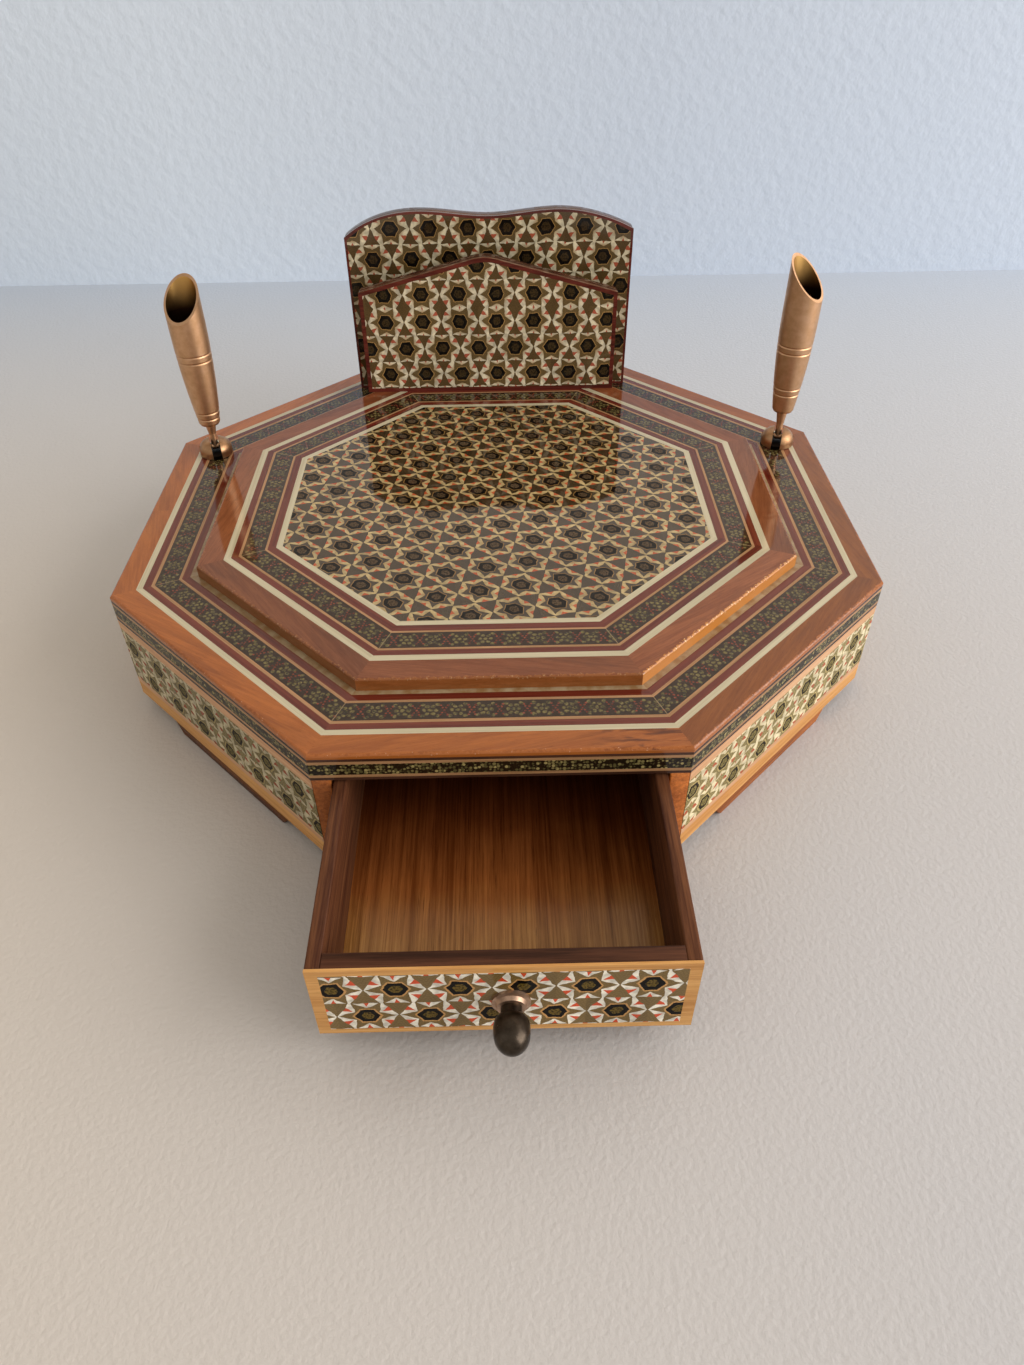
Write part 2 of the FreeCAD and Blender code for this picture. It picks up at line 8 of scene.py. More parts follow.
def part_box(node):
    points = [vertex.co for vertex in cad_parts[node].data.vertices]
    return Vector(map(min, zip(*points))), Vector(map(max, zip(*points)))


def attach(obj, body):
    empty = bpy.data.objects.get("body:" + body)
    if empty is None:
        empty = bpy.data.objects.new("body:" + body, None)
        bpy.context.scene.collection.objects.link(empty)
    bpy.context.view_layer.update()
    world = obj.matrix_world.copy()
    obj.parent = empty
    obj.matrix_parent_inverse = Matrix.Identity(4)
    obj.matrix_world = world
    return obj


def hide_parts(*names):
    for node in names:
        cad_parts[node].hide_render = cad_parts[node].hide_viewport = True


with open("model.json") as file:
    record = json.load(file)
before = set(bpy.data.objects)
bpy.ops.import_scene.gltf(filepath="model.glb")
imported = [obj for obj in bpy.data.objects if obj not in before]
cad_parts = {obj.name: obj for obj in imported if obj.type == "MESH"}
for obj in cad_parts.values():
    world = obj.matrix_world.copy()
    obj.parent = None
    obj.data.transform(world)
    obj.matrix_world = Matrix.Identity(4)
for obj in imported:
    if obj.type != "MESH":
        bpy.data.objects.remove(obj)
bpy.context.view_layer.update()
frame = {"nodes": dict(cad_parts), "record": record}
nodes = frame["nodes"]
bpy.ops.object.select_all(action="DESELECT")

# ---- Boards of the box ----
# The octagonal carcass of plain softwood board: bottom, top, seven walls and the stop behind the
# drawer. Sawn, glued and left bare, as only their undersides and the inside of the box show them.


def linear(code):
    """A hex colour as Blender's linear one."""
    parts = [int(code[i:i + 2], 16) / 255 for i in (1, 3, 5)]
    return [c / 12.92 if c <= 0.04045 else ((c + 0.055) / 1.055) ** 2.4 for c in parts] + [1.0]


def add(tree, kind, inputs={}, **settings):
    """Adds a node with its settings. Inputs are values, or nodes and sockets that are linked."""
    node = tree.nodes.new(kind if kind.startswith("Node") else "ShaderNode" + kind)
    for name, value in settings.items():
        setattr(node, name, value)
    for key, value in inputs.items():
        if isinstance(value, bpy.types.Node):
            value = [socket for socket in value.outputs if socket.enabled][0]
        if isinstance(value, bpy.types.NodeSocket):
            tree.links.new(value, node.inputs[key])
        else:
            node.inputs[key].default_value = value
    return node


def calc(tree, operation, *values):
    """One step of arithmetic on numbers, nodes or sockets."""
    return add(tree, "Math", dict(enumerate(values)), operation=operation)


def vector(tree, operation, *values):
    """One step of arithmetic on vectors."""
    return add(tree, "VectorMath", dict(enumerate(values)), operation=operation)


def scaled_by(tree, factor, value):
    """A vector or a colour, times a factor."""
    return add(tree, "VectorMath", {0: value, "Scale": factor}, operation="SCALE")


def rotated(tree, at, angle, axis="Z_AXIS"):
    """A vector turned about an axis through the origin."""
    return add(tree, "VectorRotate", {"Vector": at, "Angle": angle}, rotation_type=axis)


def split(tree, at):
    """The three parts of a vector."""
    return add(tree, "SeparateXYZ", {0: at}).outputs


def ranged(tree, value, start, end, low=0.0, high=1.0):
    """A value between start and end, held within them and stretched to run from low to high."""
    return add(tree, "MapRange", {"Value": value, "From Min": start, "From Max": end, "To Min": low,
                                  "To Max": high})


def noise(tree, at, scale, detail, **settings):
    """Fractal noise from 0 to 1."""
    inputs = {"Vector": at, "Scale": scale, "Detail": detail}
    inputs.update((name.capitalize(), value) for name, value in settings.items())
    return add(tree, "TexNoise", inputs)


def mix(tree, share, under, over):
    """One colour over another by a share from 0 to 1. Each is a hex code, a node or a socket."""
    under, over = (linear(colour) if isinstance(colour, str) else colour for colour in (under, over))
    return add(tree, "Mix", {0: share, 6: under, 7: over}, data_type="RGBA")


def on_object(tree):
    """A point's place on the object, in metres."""
    return add(tree, "TexCoord").outputs["Object"]


MM = 1000                   # millimetres in a metre


def in_millimetres(tree):
    """A point's place on the object, in millimetres."""
    return scaled_by(tree, MM, on_object(tree))


def bumps(tree, height, strength, distance, **settings):
    """Relief of a height from 0 to 1, distance metres deep."""
    return add(tree, "Bump", {"Strength": strength, "Distance": distance, "Height": height}, **settings)


def new_finish(name, **sockets):
    """A material with one surface shader, and its node tree."""
    finish = bpy.data.materials.new(name)
    finish.use_nodes = True
    tree = finish.node_tree
    tree.nodes.clear()
    if sockets.get("Coat_Weight"):
        sockets["Specular_IOR_Level"] = 0.0
    surface = add(tree, "BsdfPrincipled", {k.replace("_", " "): v for k, v in sockets.items()})
    add(tree, "OutputMaterial", {"Surface": surface})
    return finish, tree, surface


def feed(surface, **sources):
    """Links nodes to the surface shader's inputs of those names."""
    for name, node in sources.items():
        output = next(socket for socket in node.outputs if socket.enabled)
        surface.id_data.links.new(output, surface.inputs[name.replace("_", " ")])


def reopened(finish):
    """A finish's node tree and surface shader, and the socket that colours it so far."""
    tree = finish.node_tree
    surface = next(node for node in tree.nodes if node.type == "BSDF_PRINCIPLED")
    return tree, surface, surface.inputs["Base Color"].links[0].from_socket


box_low, box_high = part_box("top_border_wood")
middle = (box_low + box_high) / 2
base_top = box_high.z

platform_low, platform_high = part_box("platform_border_wood")
platform_middle = (platform_low + platform_high) / 2
EIGHTH_TURN = math.pi / 4


def mitred_strips(name, centre):
    """Every mitred strip runs round an octagon. This gives a point's place in its own strip, in
    millimetres: how far along it, how far from the octagon's middle, and how high up."""
    group = bpy.data.node_groups.new(name, "ShaderNodeTree")
    group.interface.new_socket("Place", in_out="OUTPUT", socket_type="NodeSocketVector")
    group.interface.new_socket("Turn", in_out="OUTPUT", socket_type="NodeSocketFloat")
    centred = vector(group, "SUBTRACT", on_object(group), (centre.x, centre.y, 0))
    plan = scaled_by(group, MM, centred)
    x, y, z = split(group, plan)
    bearing = calc(group, "ARCTAN2", y, x)
    turn = calc(group, "ROUND", calc(group, "MULTIPLY", bearing, 1 / EIGHTH_TURN))
    turned = rotated(group, plan, calc(group, "MULTIPLY", turn, -EIGHTH_TURN))
    x, y, z = split(group, turned)
    place = add(group, "CombineXYZ", {0: y, 1: x, 2: z})
    add(group, "NodeGroupOutput", {"Place": place, "Turn": turn})
    return group


box_strips = mitred_strips("strips_of_the_box", middle)
platform_strips = mitred_strips("strips_of_the_platform", platform_middle)


def on_strips(tree, strips):
    """A point's place on its mitred strip, the three parts of that, and the strip's turn."""
    group = add(tree, "Group", node_tree=strips)
    place = group.outputs["Place"]
    return place, split(tree, place), group.outputs["Turn"]


SIDEWAYS, FRONT_TO_BACK = 0, 1      # the ways that a board's grain can run
STRIPS_APART = 61.0         # millimetres between the cuts of neighbouring strips from one log


def grain_place(tree, along):
    """Millimetres with X along the grain: along mitred strips, or one way along a board."""
    if along in (box_strips, platform_strips):
        group = add(tree, "Group", node_tree=along)
        apart = calc(tree, "MULTIPLY", group.outputs["Turn"], STRIPS_APART)
        offset = add(tree, "CombineXYZ", {0: apart, 1: apart, 2: apart})
        return vector(tree, "ADD", group.outputs["Place"], offset)
    parts = split(tree, in_millimetres(tree))
    return add(tree, "CombineXYZ", {i: parts[(along + i) % 3] for i in range(3)})


LACQUER_IOR = 1.5


def wood(name, pale, deep, along, length=26.0, width=1.6, lean=0.0, pores="#2A140A", pore_share=0.35,
         heartwood=0.0, lacquer=0.0, gloss=0.08, roughness=0.5):
    """Wood with its grain along one way, leaning by some degrees: bands of pale and deep colour,
    length and width millimetres in size, dark streaks of heartwood here and there, and fine dark
    pores."""
    finish, tree, surface = new_finish(name, Roughness=roughness, Coat_Weight=lacquer, Coat_Roughness=gloss,
                                       Coat_IOR=LACQUER_IOR, IOR=LACQUER_IOR)
    leaning = rotated(tree, grain_place(tree, along), math.radians(lean))
    drawn = vector(tree, "MULTIPLY", leaning, (1 / length, 1 / width, 1 / width))
    figure = noise(tree, drawn, 1.0, 6.0, roughness=0.68, distortion=0.3)
    broad = vector(tree, "MULTIPLY", drawn, (0.4, 0.22, 0.22))
    bands = noise(tree, broad, 1.0, 3.0, distortion=0.5)
    both = add(tree, "Mix", {0: 0.4, 2: figure.outputs[0], 3: bands.outputs[0]})
    spread = ranged(tree, both, 0.4, 0.6)
    colour = mix(tree, spread, deep, pale)
    if heartwood:
        far = vector(tree, "MULTIPLY", drawn, (0.3, 0.13, 0.13))
        heart = noise(tree, far, 1.0, 4.0, distortion=0.8)
        heart = ranged(tree, heart, 0.54, 0.68, 0.0, heartwood)
        colour = mix(tree, heart, colour, pores)
    fine = vector(tree, "MULTIPLY", leaning, (4 / length, 3.2 / width, 3.2 / width))
    pore = noise(tree, fine, 1.0, 3.0, roughness=0.7)
    pits = ranged(tree, pore, 0.56, 0.72, 0.0, pore_share)
    feed(surface, Base_Color=mix(tree, pits, colour, pores),
         Normal=bumps(tree, pore, 0.5, 0.00002, invert=True))
    return finish


def dress(node, finish):
    """Gives a CAD node or a new piece its one finish."""
    node.data.materials.clear()
    node.data.materials.append(finish)


bare_board = wood("softwood_board_sawn", "#B08D62", "#94703F", SIDEWAYS, length=60, width=2.4, roughness=0.7)
for name in ("bottom_board", "top_board", "back_wall", "left_wall", "right_wall", "front_left_wall",
             "front_right_wall", "back_left_wall", "back_right_wall", "drawer_stop"):
    dress(nodes[name], bare_board)

# ---- Boards beside the drawer ----
# Two boards of red-brown hardwood, lacquered, from the front opening to the back wall. The drawer
# runs between them, and their front ends close the gaps beside it. Their edges are eased by hand.
WELD = 0.000002             # metres between points of a CAD mesh that are one
SHARP = math.radians(30)
FLAT = math.radians(0.5)


def eased_copy(node, piece, width):
    """A copy of a CAD node with its sharp edges eased by width metres, in place of the node."""
    copy = nodes[node].copy()
    copy.data = nodes[node].data.copy()
    copy.name = piece
    copy.parent = None
    bpy.context.scene.collection.objects.link(copy)
    for key in [key for key in copy.keys() if key.startswith("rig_")]:
        del copy[key]
    bpy.ops.object.select_all(action="DESELECT")
    copy.select_set(True)
    bpy.context.view_layer.objects.active = copy
    bpy.ops.object.mode_set(mode="EDIT")
    bpy.ops.mesh.select_all(action="SELECT")
    bpy.ops.mesh.customdata_custom_splitnormals_clear()
    bpy.ops.mesh.remove_doubles(threshold=WELD)
    bpy.ops.mesh.dissolve_limited(angle_limit=FLAT)
    bpy.ops.object.mode_set(mode="OBJECT")
    easing = copy.modifiers.new("eased_edges", "BEVEL")
    easing.width = width
    easing.segments = 3
    easing.limit_method = "ANGLE"
    easing.angle_limit = SHARP
    bpy.ops.object.modifier_apply(modifier="eased_edges")
    bpy.ops.object.shade_smooth_by_angle(angle=SHARP)
    bpy.ops.object.select_all(action="DESELECT")
    body = next(body for body, names in frame["record"]["behaviour"]["bodies"].items() if node in names)
    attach(copy, body)
    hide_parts(node)
    return copy


# the left board is coloured darker than the right: painted shade from the drawer beside it
for side, pale, deep in (("left", "#B86C34", "#8A4C24"), ("right", "#DC8440", "#A85E2E")):
    jamb_wood = wood("hardwood_" + side + "_board_lacquered", pale, deep, FRONT_TO_BACK, length=30, width=1.1,
                     lacquer=0.6, gloss=0.15, roughness=0.4)
    dress(eased_copy(side + "_drawer_guide", side + "_drawer_board", 0.0004), jamb_wood)

# ---- Feet ----
# Four bars of dark hardwood glued under the slanting sides, each with its ends sawn back towards
# the table. Thinly lacquered, with their arrises rubbed down.

# the eight walls or strips of an octagon, by their turn
FRONT_LEFT, FRONT, FRONT_RIGHT, RIGHT, BACK_RIGHT, BACK, BACK_LEFT, LEFT = range(-3, 5)


def strip_is(tree, turn, which):
    """1 on the one strip of an octagon, and 0 on the others."""
    return calc(tree, "COMPARE", turn, which, 0.5)


def painted_light_by_strip(finish, strips, tones):
    """Scales the colours of strips by their turn: painted light and shade, one level for each strip as it
    faces the light.
    """
    tree, surface, colour = reopened(finish)
    group = add(tree, "Group", node_tree=strips)
    level = 1.0
    for which, tone in tones.items():
        # the left strip lies at both ends of the bearings
        for turn in (LEFT, -LEFT) if which == LEFT else (which,):
            level = calc(tree, "MULTIPLY_ADD", strip_is(tree, group.outputs["Turn"], turn), tone - 1.0, level)
    feed(surface, Base_Color=scaled_by(tree, level, colour))


foot_wood = wood("hardwood_bar_lacquered", "#B46C34", "#7C4420", box_strips, length=24, width=1.2,
                 lacquer=0.4, gloss=0.2, roughness=0.45)
# the left feet are darker: painted shade on the side turned from the window
painted_light_by_strip(foot_wood, box_strips, {FRONT_LEFT: 0.4, BACK_LEFT: 0.6})
for corner in ("front_left", "front_right", "back_left", "back_right"):
    dress(eased_copy(corner + "_foot", corner + "_foot_bar", 0.0005), foot_wood)

# ---- Strips round the outside of the box ----
# From the bottom up: a golden softwood moulding, a thin pink-brown bead, the field of stars, and a
# pale strip under the edge of the top. Each is glued on and mitred at the corners.
moulding_wood = wood("pine_moulding_lacquered", "#DCA664", "#C08646", box_strips, length=40, width=1.3,
                     pores="#7A4A22", lacquer=0.5, gloss=0.2, roughness=0.45)
dress(nodes["lower_moulding"], moulding_wood)
strip_wood = wood("maple_strip_lacquered", "#D8AC84", "#C08E64", box_strips, length=30, width=1.0,
                  pores="#8A5A3A", pore_share=0.2, lacquer=0.6, gloss=0.12, roughness=0.4)
dress(nodes["wall_light_strips"], strip_wood)

STAR_PITCH = 15.0           # millimetres between the stars as they are drawn here
HEXAGON = 6.4               # from a star's middle to each side of its hexagon
COS_30 = 0.8660
ROD = 0.8                   # across one rod of a filling
EBONY, DARK_STREAK = "#0E0C0A", "#14110D"


def unevenly(tree, at, scale, reach):
    """A place shifted by up to half of reach each way on its face, as if laid by hand."""
    drift = noise(tree, at, scale, 2.0)
    drift = vector(tree, "SUBTRACT", drift.outputs["Color"], (0.5, 0.5, 0.5))
    return vector(tree, "MULTIPLY_ADD", drift, (reach, reach, 0), at)


def folded_about(tree, value, middle):
    """How far a value is from the middle, either way."""
    return calc(tree, "ABSOLUTE", calc(tree, "SUBTRACT", value, middle))


def khatam(name, at, row, cream, brown, olive, ochre, heart, tip, radii, wings, start, pitch=STAR_PITCH,
           odd_rows=None, tan=0.6, tip_start=4.1, tip_slope=0.43, fringe=0.0, joints=(0.3, "#1C140C"),
           lacquer=1.0, gloss=0.05, coat_ior=LACQUER_IOR):
    """Star marquetry on a flat face. Rods of triangular section are bundled into hexagonal stars of
    one pitch, sliced, and laid in trimmed rows, row millimetres high. The rows slip past each other
    by half a pitch, and by half of one once more from row odd_rows on. at gives the point on the
    face in millimetres, and start is the middle of one star. The other sizes are of a star drawn
    STAR_PITCH wide: the radii of its heart, its black ring and its ochre one, and its pale wings,
    which begin at wings[0] and whose length over half their width is wings[1]. The wings are tan
    at their roots, with a coloured tip from tip_start out, and end in a fringe outside the hexagon.
    joints are the share and colour of the glue between the rods."""
    finish, tree, surface = new_finish(name, Roughness=0.45, Coat_Weight=lacquer, Coat_Roughness=gloss,
                                       Coat_IOR=coat_ior, IOR=LACQUER_IOR)
    size = STAR_PITCH / pitch
    moved = vector(tree, "SUBTRACT", at(tree), (start[0], start[1] - row / 2, 0))
    scaled = scaled_by(tree, size, moved)
    x, y, _ = split(tree, unevenly(tree, scaled, 0.3, 1.3))
    tall = row * size
    row_index = calc(tree, "FLOOR", calc(tree, "DIVIDE", y, tall))
    up = folded_about(tree, calc(tree, "FLOORED_MODULO", y, tall), tall / 2)
    slipped = calc(tree, "MULTIPLY", row_index, STAR_PITCH / 2)
    if odd_rows is not None:
        late = calc(tree, "GREATER_THAN", row_index, odd_rows - 0.5)
        late = calc(tree, "MULTIPLY", late, STAR_PITCH / 2)
        slipped = calc(tree, "ADD", slipped, late)
    run = calc(tree, "SUBTRACT", x, slipped)
    run = calc(tree, "ADD", run, STAR_PITCH / 2)
    star_index = calc(tree, "FLOOR", calc(tree, "DIVIDE", run, STAR_PITCH))
    side = folded_about(tree, calc(tree, "FLOORED_MODULO", run, STAR_PITCH), STAR_PITCH / 2)

    # fold the star into one twelfth: how far out towards a side of the hexagon, and off its middle
    out_slant = calc(tree, "MULTIPLY_ADD", side, COS_30, calc(tree, "MULTIPLY", up, 0.5))
    off_slant = calc(tree, "MULTIPLY_ADD", up, COS_30, calc(tree, "MULTIPLY", side, -0.5))
    off_slant = calc(tree, "ABSOLUTE", off_slant)
    slanting = calc(tree, "GREATER_THAN", out_slant, up)
    out = calc(tree, "MAXIMUM", out_slant, up)
    off = add(tree, "Mix", {0: slanting, 2: side, 3: off_slant})

    # colours from the middle of the star outwards: heart, black ring, ochre ring, olive points, brown
    heart_radius, black_radius, ochre_radius = radii
    furthest = 8.0
    rings = add(tree, "ValToRGB", {0: calc(tree, "DIVIDE", out, furthest)})
    rings.color_ramp.interpolation = "CONSTANT"
    stops = rings.color_ramp.elements
    stops[0].color = linear(heart)
    stops[1].position = heart_radius / furthest
    stops[1].color = linear(EBONY)
    for at_out, colour in ((black_radius, ochre), (ochre_radius, olive), (HEXAGON, brown)):
        stop = stops.new(at_out / furthest)
        stop.color = linear(colour)
    streaks = ranged(tree, noise(tree, scaled, 1.7, 2.0), 0.42, 0.5, 0.8, 0.0)
    in_heart = calc(tree, "LESS_THAN", out, black_radius)
    rings = mix(tree, calc(tree, "MULTIPLY", streaks, in_heart), rings, DARK_STREAK)
    # ebony rods have sunk a little in the lacquer and shine less
    feed(surface, Coat_Weight=ranged(tree, in_heart, 0, 1, lacquer, lacquer * 0.45))

    # pale wings inside the hexagon, and what of them is left on the fringe outside it
    inside = calc(tree, "LESS_THAN", out, HEXAGON)
    outside = calc(tree, "SUBTRACT", 1.0, inside)
    wide = calc(tree, "MULTIPLY", off, wings[1])
    wing = calc(tree, "LESS_THAN", wide, calc(tree, "ADD", out, -wings[0]))
    wing = calc(tree, "MULTIPLY", wing, inside)
    corner = 3.74           # how far off a side's middle its end is
    beyond = calc(tree, "MULTIPLY_ADD", off, -fringe / corner, fringe + HEXAGON)
    beyond = calc(tree, "MULTIPLY", calc(tree, "LESS_THAN", out, beyond), outside)
    wing = calc(tree, "MAXIMUM", wing, beyond)
    mottle = ranged(tree, noise(tree, scaled, 0.45, 1.0), 0.35, 0.65, 0.68, 1.1)
    bone = scaled_by(tree, mottle, linear(cream)[:3])
    root = ranged(tree, out, wings[0], wings[0] + 1.4, tan, 0.0)
    winged = mix(tree, wing, rings, mix(tree, root, bone, ochre))
    tip_width = calc(tree, "MULTIPLY_ADD", folded_about(tree, out, HEXAGON), -tip_slope,
                     (HEXAGON - tip_start) * tip_slope)
    in_tip = calc(tree, "MULTIPLY", calc(tree, "LESS_THAN", off, tip_width), wing)
    tipped = mix(tree, in_tip, winged, tip)

    # the brown and olive fillings are themselves bundles of rods, with glue between them
    ribs = calc(tree, "PINGPONG", out, ROD / 2)
    cross_ribs = calc(tree, "PINGPONG", off, ROD / 2)
    joint = ranged(tree, calc(tree, "MINIMUM", ribs, cross_ribs), 0.02, 0.12, joints[0], 0.0)
    joint = calc(tree, "MULTIPLY", joint, calc(tree, "SUBTRACT", 1.0, wing))
    ribbed = mix(tree, joint, tipped, joints[1])

    # no two slices have quite the same tone, and the wood varies inside each
    slice_at = add(tree, "CombineXYZ", {0: star_index, 1: row_index})
    tone = add(tree, "TexWhiteNoise", {"Vector": slice_at}, noise_dimensions="2D")
    speck = noise(tree, scaled, 1.3, 4.0, roughness=0.7)
    tone = add(tree, "Mix", {0: 0.65, 2: tone.outputs[0], 3: speck.outputs[0]})
    level = ranged(tree, tone, 0.2, 0.8, 0.78, 1.2)
    ripple = noise(tree, scaled, 0.12, 2.0)
    feed(surface, Base_Color=scaled_by(tree, level, ribbed), Coat_Normal=bumps(tree, ripple, 0.25, 0.00012))
    return finish


def on_walls(tree):
    """Along a wall and up it. The rows start a little further on each wall, as they were cut."""
    _, (along, _, up), turn = on_strips(tree, box_strips)
    return add(tree, "CombineXYZ", {0: calc(tree, "MULTIPLY_ADD", turn, 1.25, along), 1: up})


wall_stars = khatam("khatam_of_the_walls", on_walls, row=11.0, start=(2.4, base_top * MM - 30.2),
                    cream="#E2D6B0", brown="#9C8C56", olive="#8C7E4A", ochre="#B8A468", heart="#867A4A",
                    tip="#AA502C", radii=(1.6, 2.5, 3.0), wings=(3.5, 0.62), tip_start=4.6, tip_slope=0.5,
                    fringe=0.6, joints=(0.8, "#4C4220"), lacquer=0.7, gloss=0.12)
# the left walls are darker: painted shade on the side turned from the window
painted_light_by_strip(wall_stars, box_strips, {FRONT_LEFT: 0.7, LEFT: 0.8})
dress(nodes["wall_khatam_panels"], wall_stars)

# ---- Edge of the top ----
# Five thin layers glued round the rim: dark wood, natural wood, a strip of mottled khatam, natural
# wood and dark wood again.
dark_line = wood("ebonised_line_lacquered", "#503428", "#301C14", box_strips, lacquer=0.7, gloss=0.1)
natural_line = wood("boxwood_line_lacquered", "#B48A64", "#94704C", box_strips, width=0.8, pore_share=0.2,
                    pores="#7A5234", lacquer=0.7, gloss=0.1)
dress(nodes["edge_dark_lines"], dark_line)
dress(nodes["edge_natural_lines"], natural_line)

# The strip's khatam is a running bundle of small rods, olive and straw on a near-black ground.
edge_khatam, tree, surface = new_finish("khatam_of_the_edge", Roughness=0.45, Coat_Weight=0.7,
                                        Coat_Roughness=0.1, Coat_IOR=LACQUER_IOR, IOR=LACQUER_IOR)
strip = add(tree, "Group", node_tree=box_strips)
rods = add(tree, "TexVoronoi", {"Vector": strip.outputs["Place"], "Scale": 0.95, "Randomness": 0.55})
face = ranged(tree, rods.outputs["Distance"], 0.6, 0.45)
kind = add(tree, "ValToRGB", {0: add(tree, "SeparateColor", {0: rods.outputs["Color"]})})
kind.color_ramp.interpolation = "CONSTANT"
stops = kind.color_ramp.elements
stops.new(0.86)
for stop, (share, colour) in zip(stops, ((0.0, "#565030"), (0.45, "#7C7248"), (0.86, "#A29460"))):
    stop.position = share
    stop.color = linear(colour)
feed(surface, Base_Color=mix(tree, face, "#1E160D", kind))
dress(nodes["edge_khatam_strips"], edge_khatam)

# ---- Bands of the top ----
# Mitred strips let into the top from the rim inwards: a border of red-brown wood with a rounded
# arris, cream, maroon and natural lines, and a band of khatam, all under one coat of lacquer.
border_wood = wood("walnut_border_lacquered", "#B2672C", "#9A5422", box_strips, length=12, width=0.8, lean=12,
                   pores="#4E240E", pore_share=0.5, heartwood=0.25, lacquer=1.0, gloss=0.06, roughness=0.4)


def arris_wear_and_highlight(finish, strips, outer, top, rubbed_and_lit, fleck_and_glint, sparse=0.63, lit_side=None):
    """Rubs a border through along its outer arris and down its outer face, with pale flecks there: worn
    lacquer, with painted highlight on the arris and face and painted glints in the flecks. outer is the
    face's distance from the octagon's middle and top its height, in millimetres. The last argument names the
    one strip, by its turn, whose arris and outer face keep all of their wear and painted light; the others
    keep about a fifth."""
    tree, surface, wood_colour = reopened(finish)
    place, parts, turn = on_strips(tree, strips)
    inset = calc(tree, "SUBTRACT", outer, parts[1])
    depth = calc(tree, "SUBTRACT", top, parts[2])
    reach = ranged(tree, noise(tree, place, 0.9, 4.0), 0.35, 0.65, 0.1, 1.1)
    on_arris = calc(tree, "LESS_THAN", calc(tree, "ADD", inset, depth), reach)
    on_side = calc(tree, "LESS_THAN", inset, 0.12)
    # only the lit side keeps the full painted light on its arris and outer face
    if lit_side is not None:
        bright = ranged(tree, strip_is(tree, turn, lit_side), 0, 1, 0.22, 1.0)
        on_side = calc(tree, "MULTIPLY", on_side, bright)
        on_arris = calc(tree, "MULTIPLY", on_arris, bright)
    # the arris and outer face take the rubbed colour: worn lacquer with painted highlight
    share = calc(tree, "MULTIPLY", calc(tree, "MAXIMUM", on_arris, on_side), 0.75)
    opened = mix(tree, share, wood_colour, rubbed_and_lit)
    # pale flecks on the arris: chipped lacquer with painted glints
    chip_and_glint_spots = calc(tree, "GREATER_THAN", noise(tree, place, 1.7, 2.0), sparse)
    feed(surface, Base_Color=mix(tree, calc(tree, "MULTIPLY", chip_and_glint_spots, on_arris), opened, fleck_and_glint))


# the border's strips are darkened by their turn, most on the right: painted shade from how the light falls on
# each
painted_light_by_strip(border_wood, box_strips, {FRONT_RIGHT: 0.56, RIGHT: 0.55, BACK_RIGHT: 0.74, FRONT: 0.9,
                                      LEFT: 0.93, FRONT_LEFT: 0.97})
# the right end of the front strip runs into dark heartwood
tree, surface, toned = reopened(border_wood)
place, parts, turn = on_strips(tree, box_strips)
rightwards = ranged(tree, parts[0], 20.0, 36.0)
drawn = vector(tree, "MULTIPLY", place, (0.09, 0.4, 0.4))
patch = ranged(tree, noise(tree, drawn, 1.0, 4.0, distortion=0.6), 0.44, 0.58, 0.0, 0.85)
patch = calc(tree, "MULTIPLY", patch, rightwards)
patch = calc(tree, "MULTIPLY", patch, strip_is(tree, turn, FRONT))
feed(surface, Base_Color=mix(tree, patch, toned, "#4A2010"))
# its arris: worn lacquer with painted highlight, and flecks of chips with painted glints
arris_wear_and_highlight(border_wood, box_strips, (box_high.x - middle.x) * MM, base_top * MM, "#A8622E", "#C8A080",
           sparse=0.68)
dress(nodes["top_border_wood"], border_wood)
cream_line = wood("bone_line_lacquered", "#CCC3A6", "#B6AC8E", box_strips, length=60, width=1.0,
                  pores="#9A8C60", pore_share=0.15, lacquer=1.0, gloss=0.06, roughness=0.4)
maroon_line = wood("dyed_maroon_line_lacquered", "#72301F", "#541A12", box_strips, length=60, width=1.0,
                   pores="#3A100E", pore_share=0.3, lacquer=1.0, gloss=0.06, roughness=0.4)
# what shows of the innermost line, at the platform's foot, is under old glue and darkened by painted shade
# under the platform's lip
glued_and_shaded_line = cream_line.copy()
glued_and_shaded_line.name = "bone_line_under_glue_and_shade"
tree, surface, clean = reopened(glued_and_shaded_line)
place, parts, turn = on_strips(tree, box_strips)
innermost = calc(tree, "LESS_THAN", parts[1], 105.0)
glue_and_shade = ranged(tree, noise(tree, place, 0.25, 4.0), 0.35, 0.6, 0.5, 0.95)
glue_and_shade = calc(tree, "MULTIPLY", glue_and_shade, innermost)
feed(surface, Base_Color=mix(tree, glue_and_shade, clean, "#8C6A42"))
dress(nodes["top_cream_lines"], glued_and_shaded_line)
dress(nodes["platform_cream_lines"], cream_line)
for name in ("top", "platform"):
    dress(nodes[name + "_maroon_lines"], maroon_line)
    dress(nodes[name + "_natural_lines"], natural_line)


def rod_bundle(tree, place, centres, radius):
    """1 inside round rods at the given centres, in millimetres, and 0 outside them."""
    nearest = None
    for x, y in centres:
        gap = vector(tree, "DISTANCE", place, (x, y, 0)).outputs["Value"]
        nearest = gap if nearest is None else calc(tree, "MINIMUM", nearest, gap)
    blur = 0.14
    return ranged(tree, nearest, radius + blur, radius - blur)


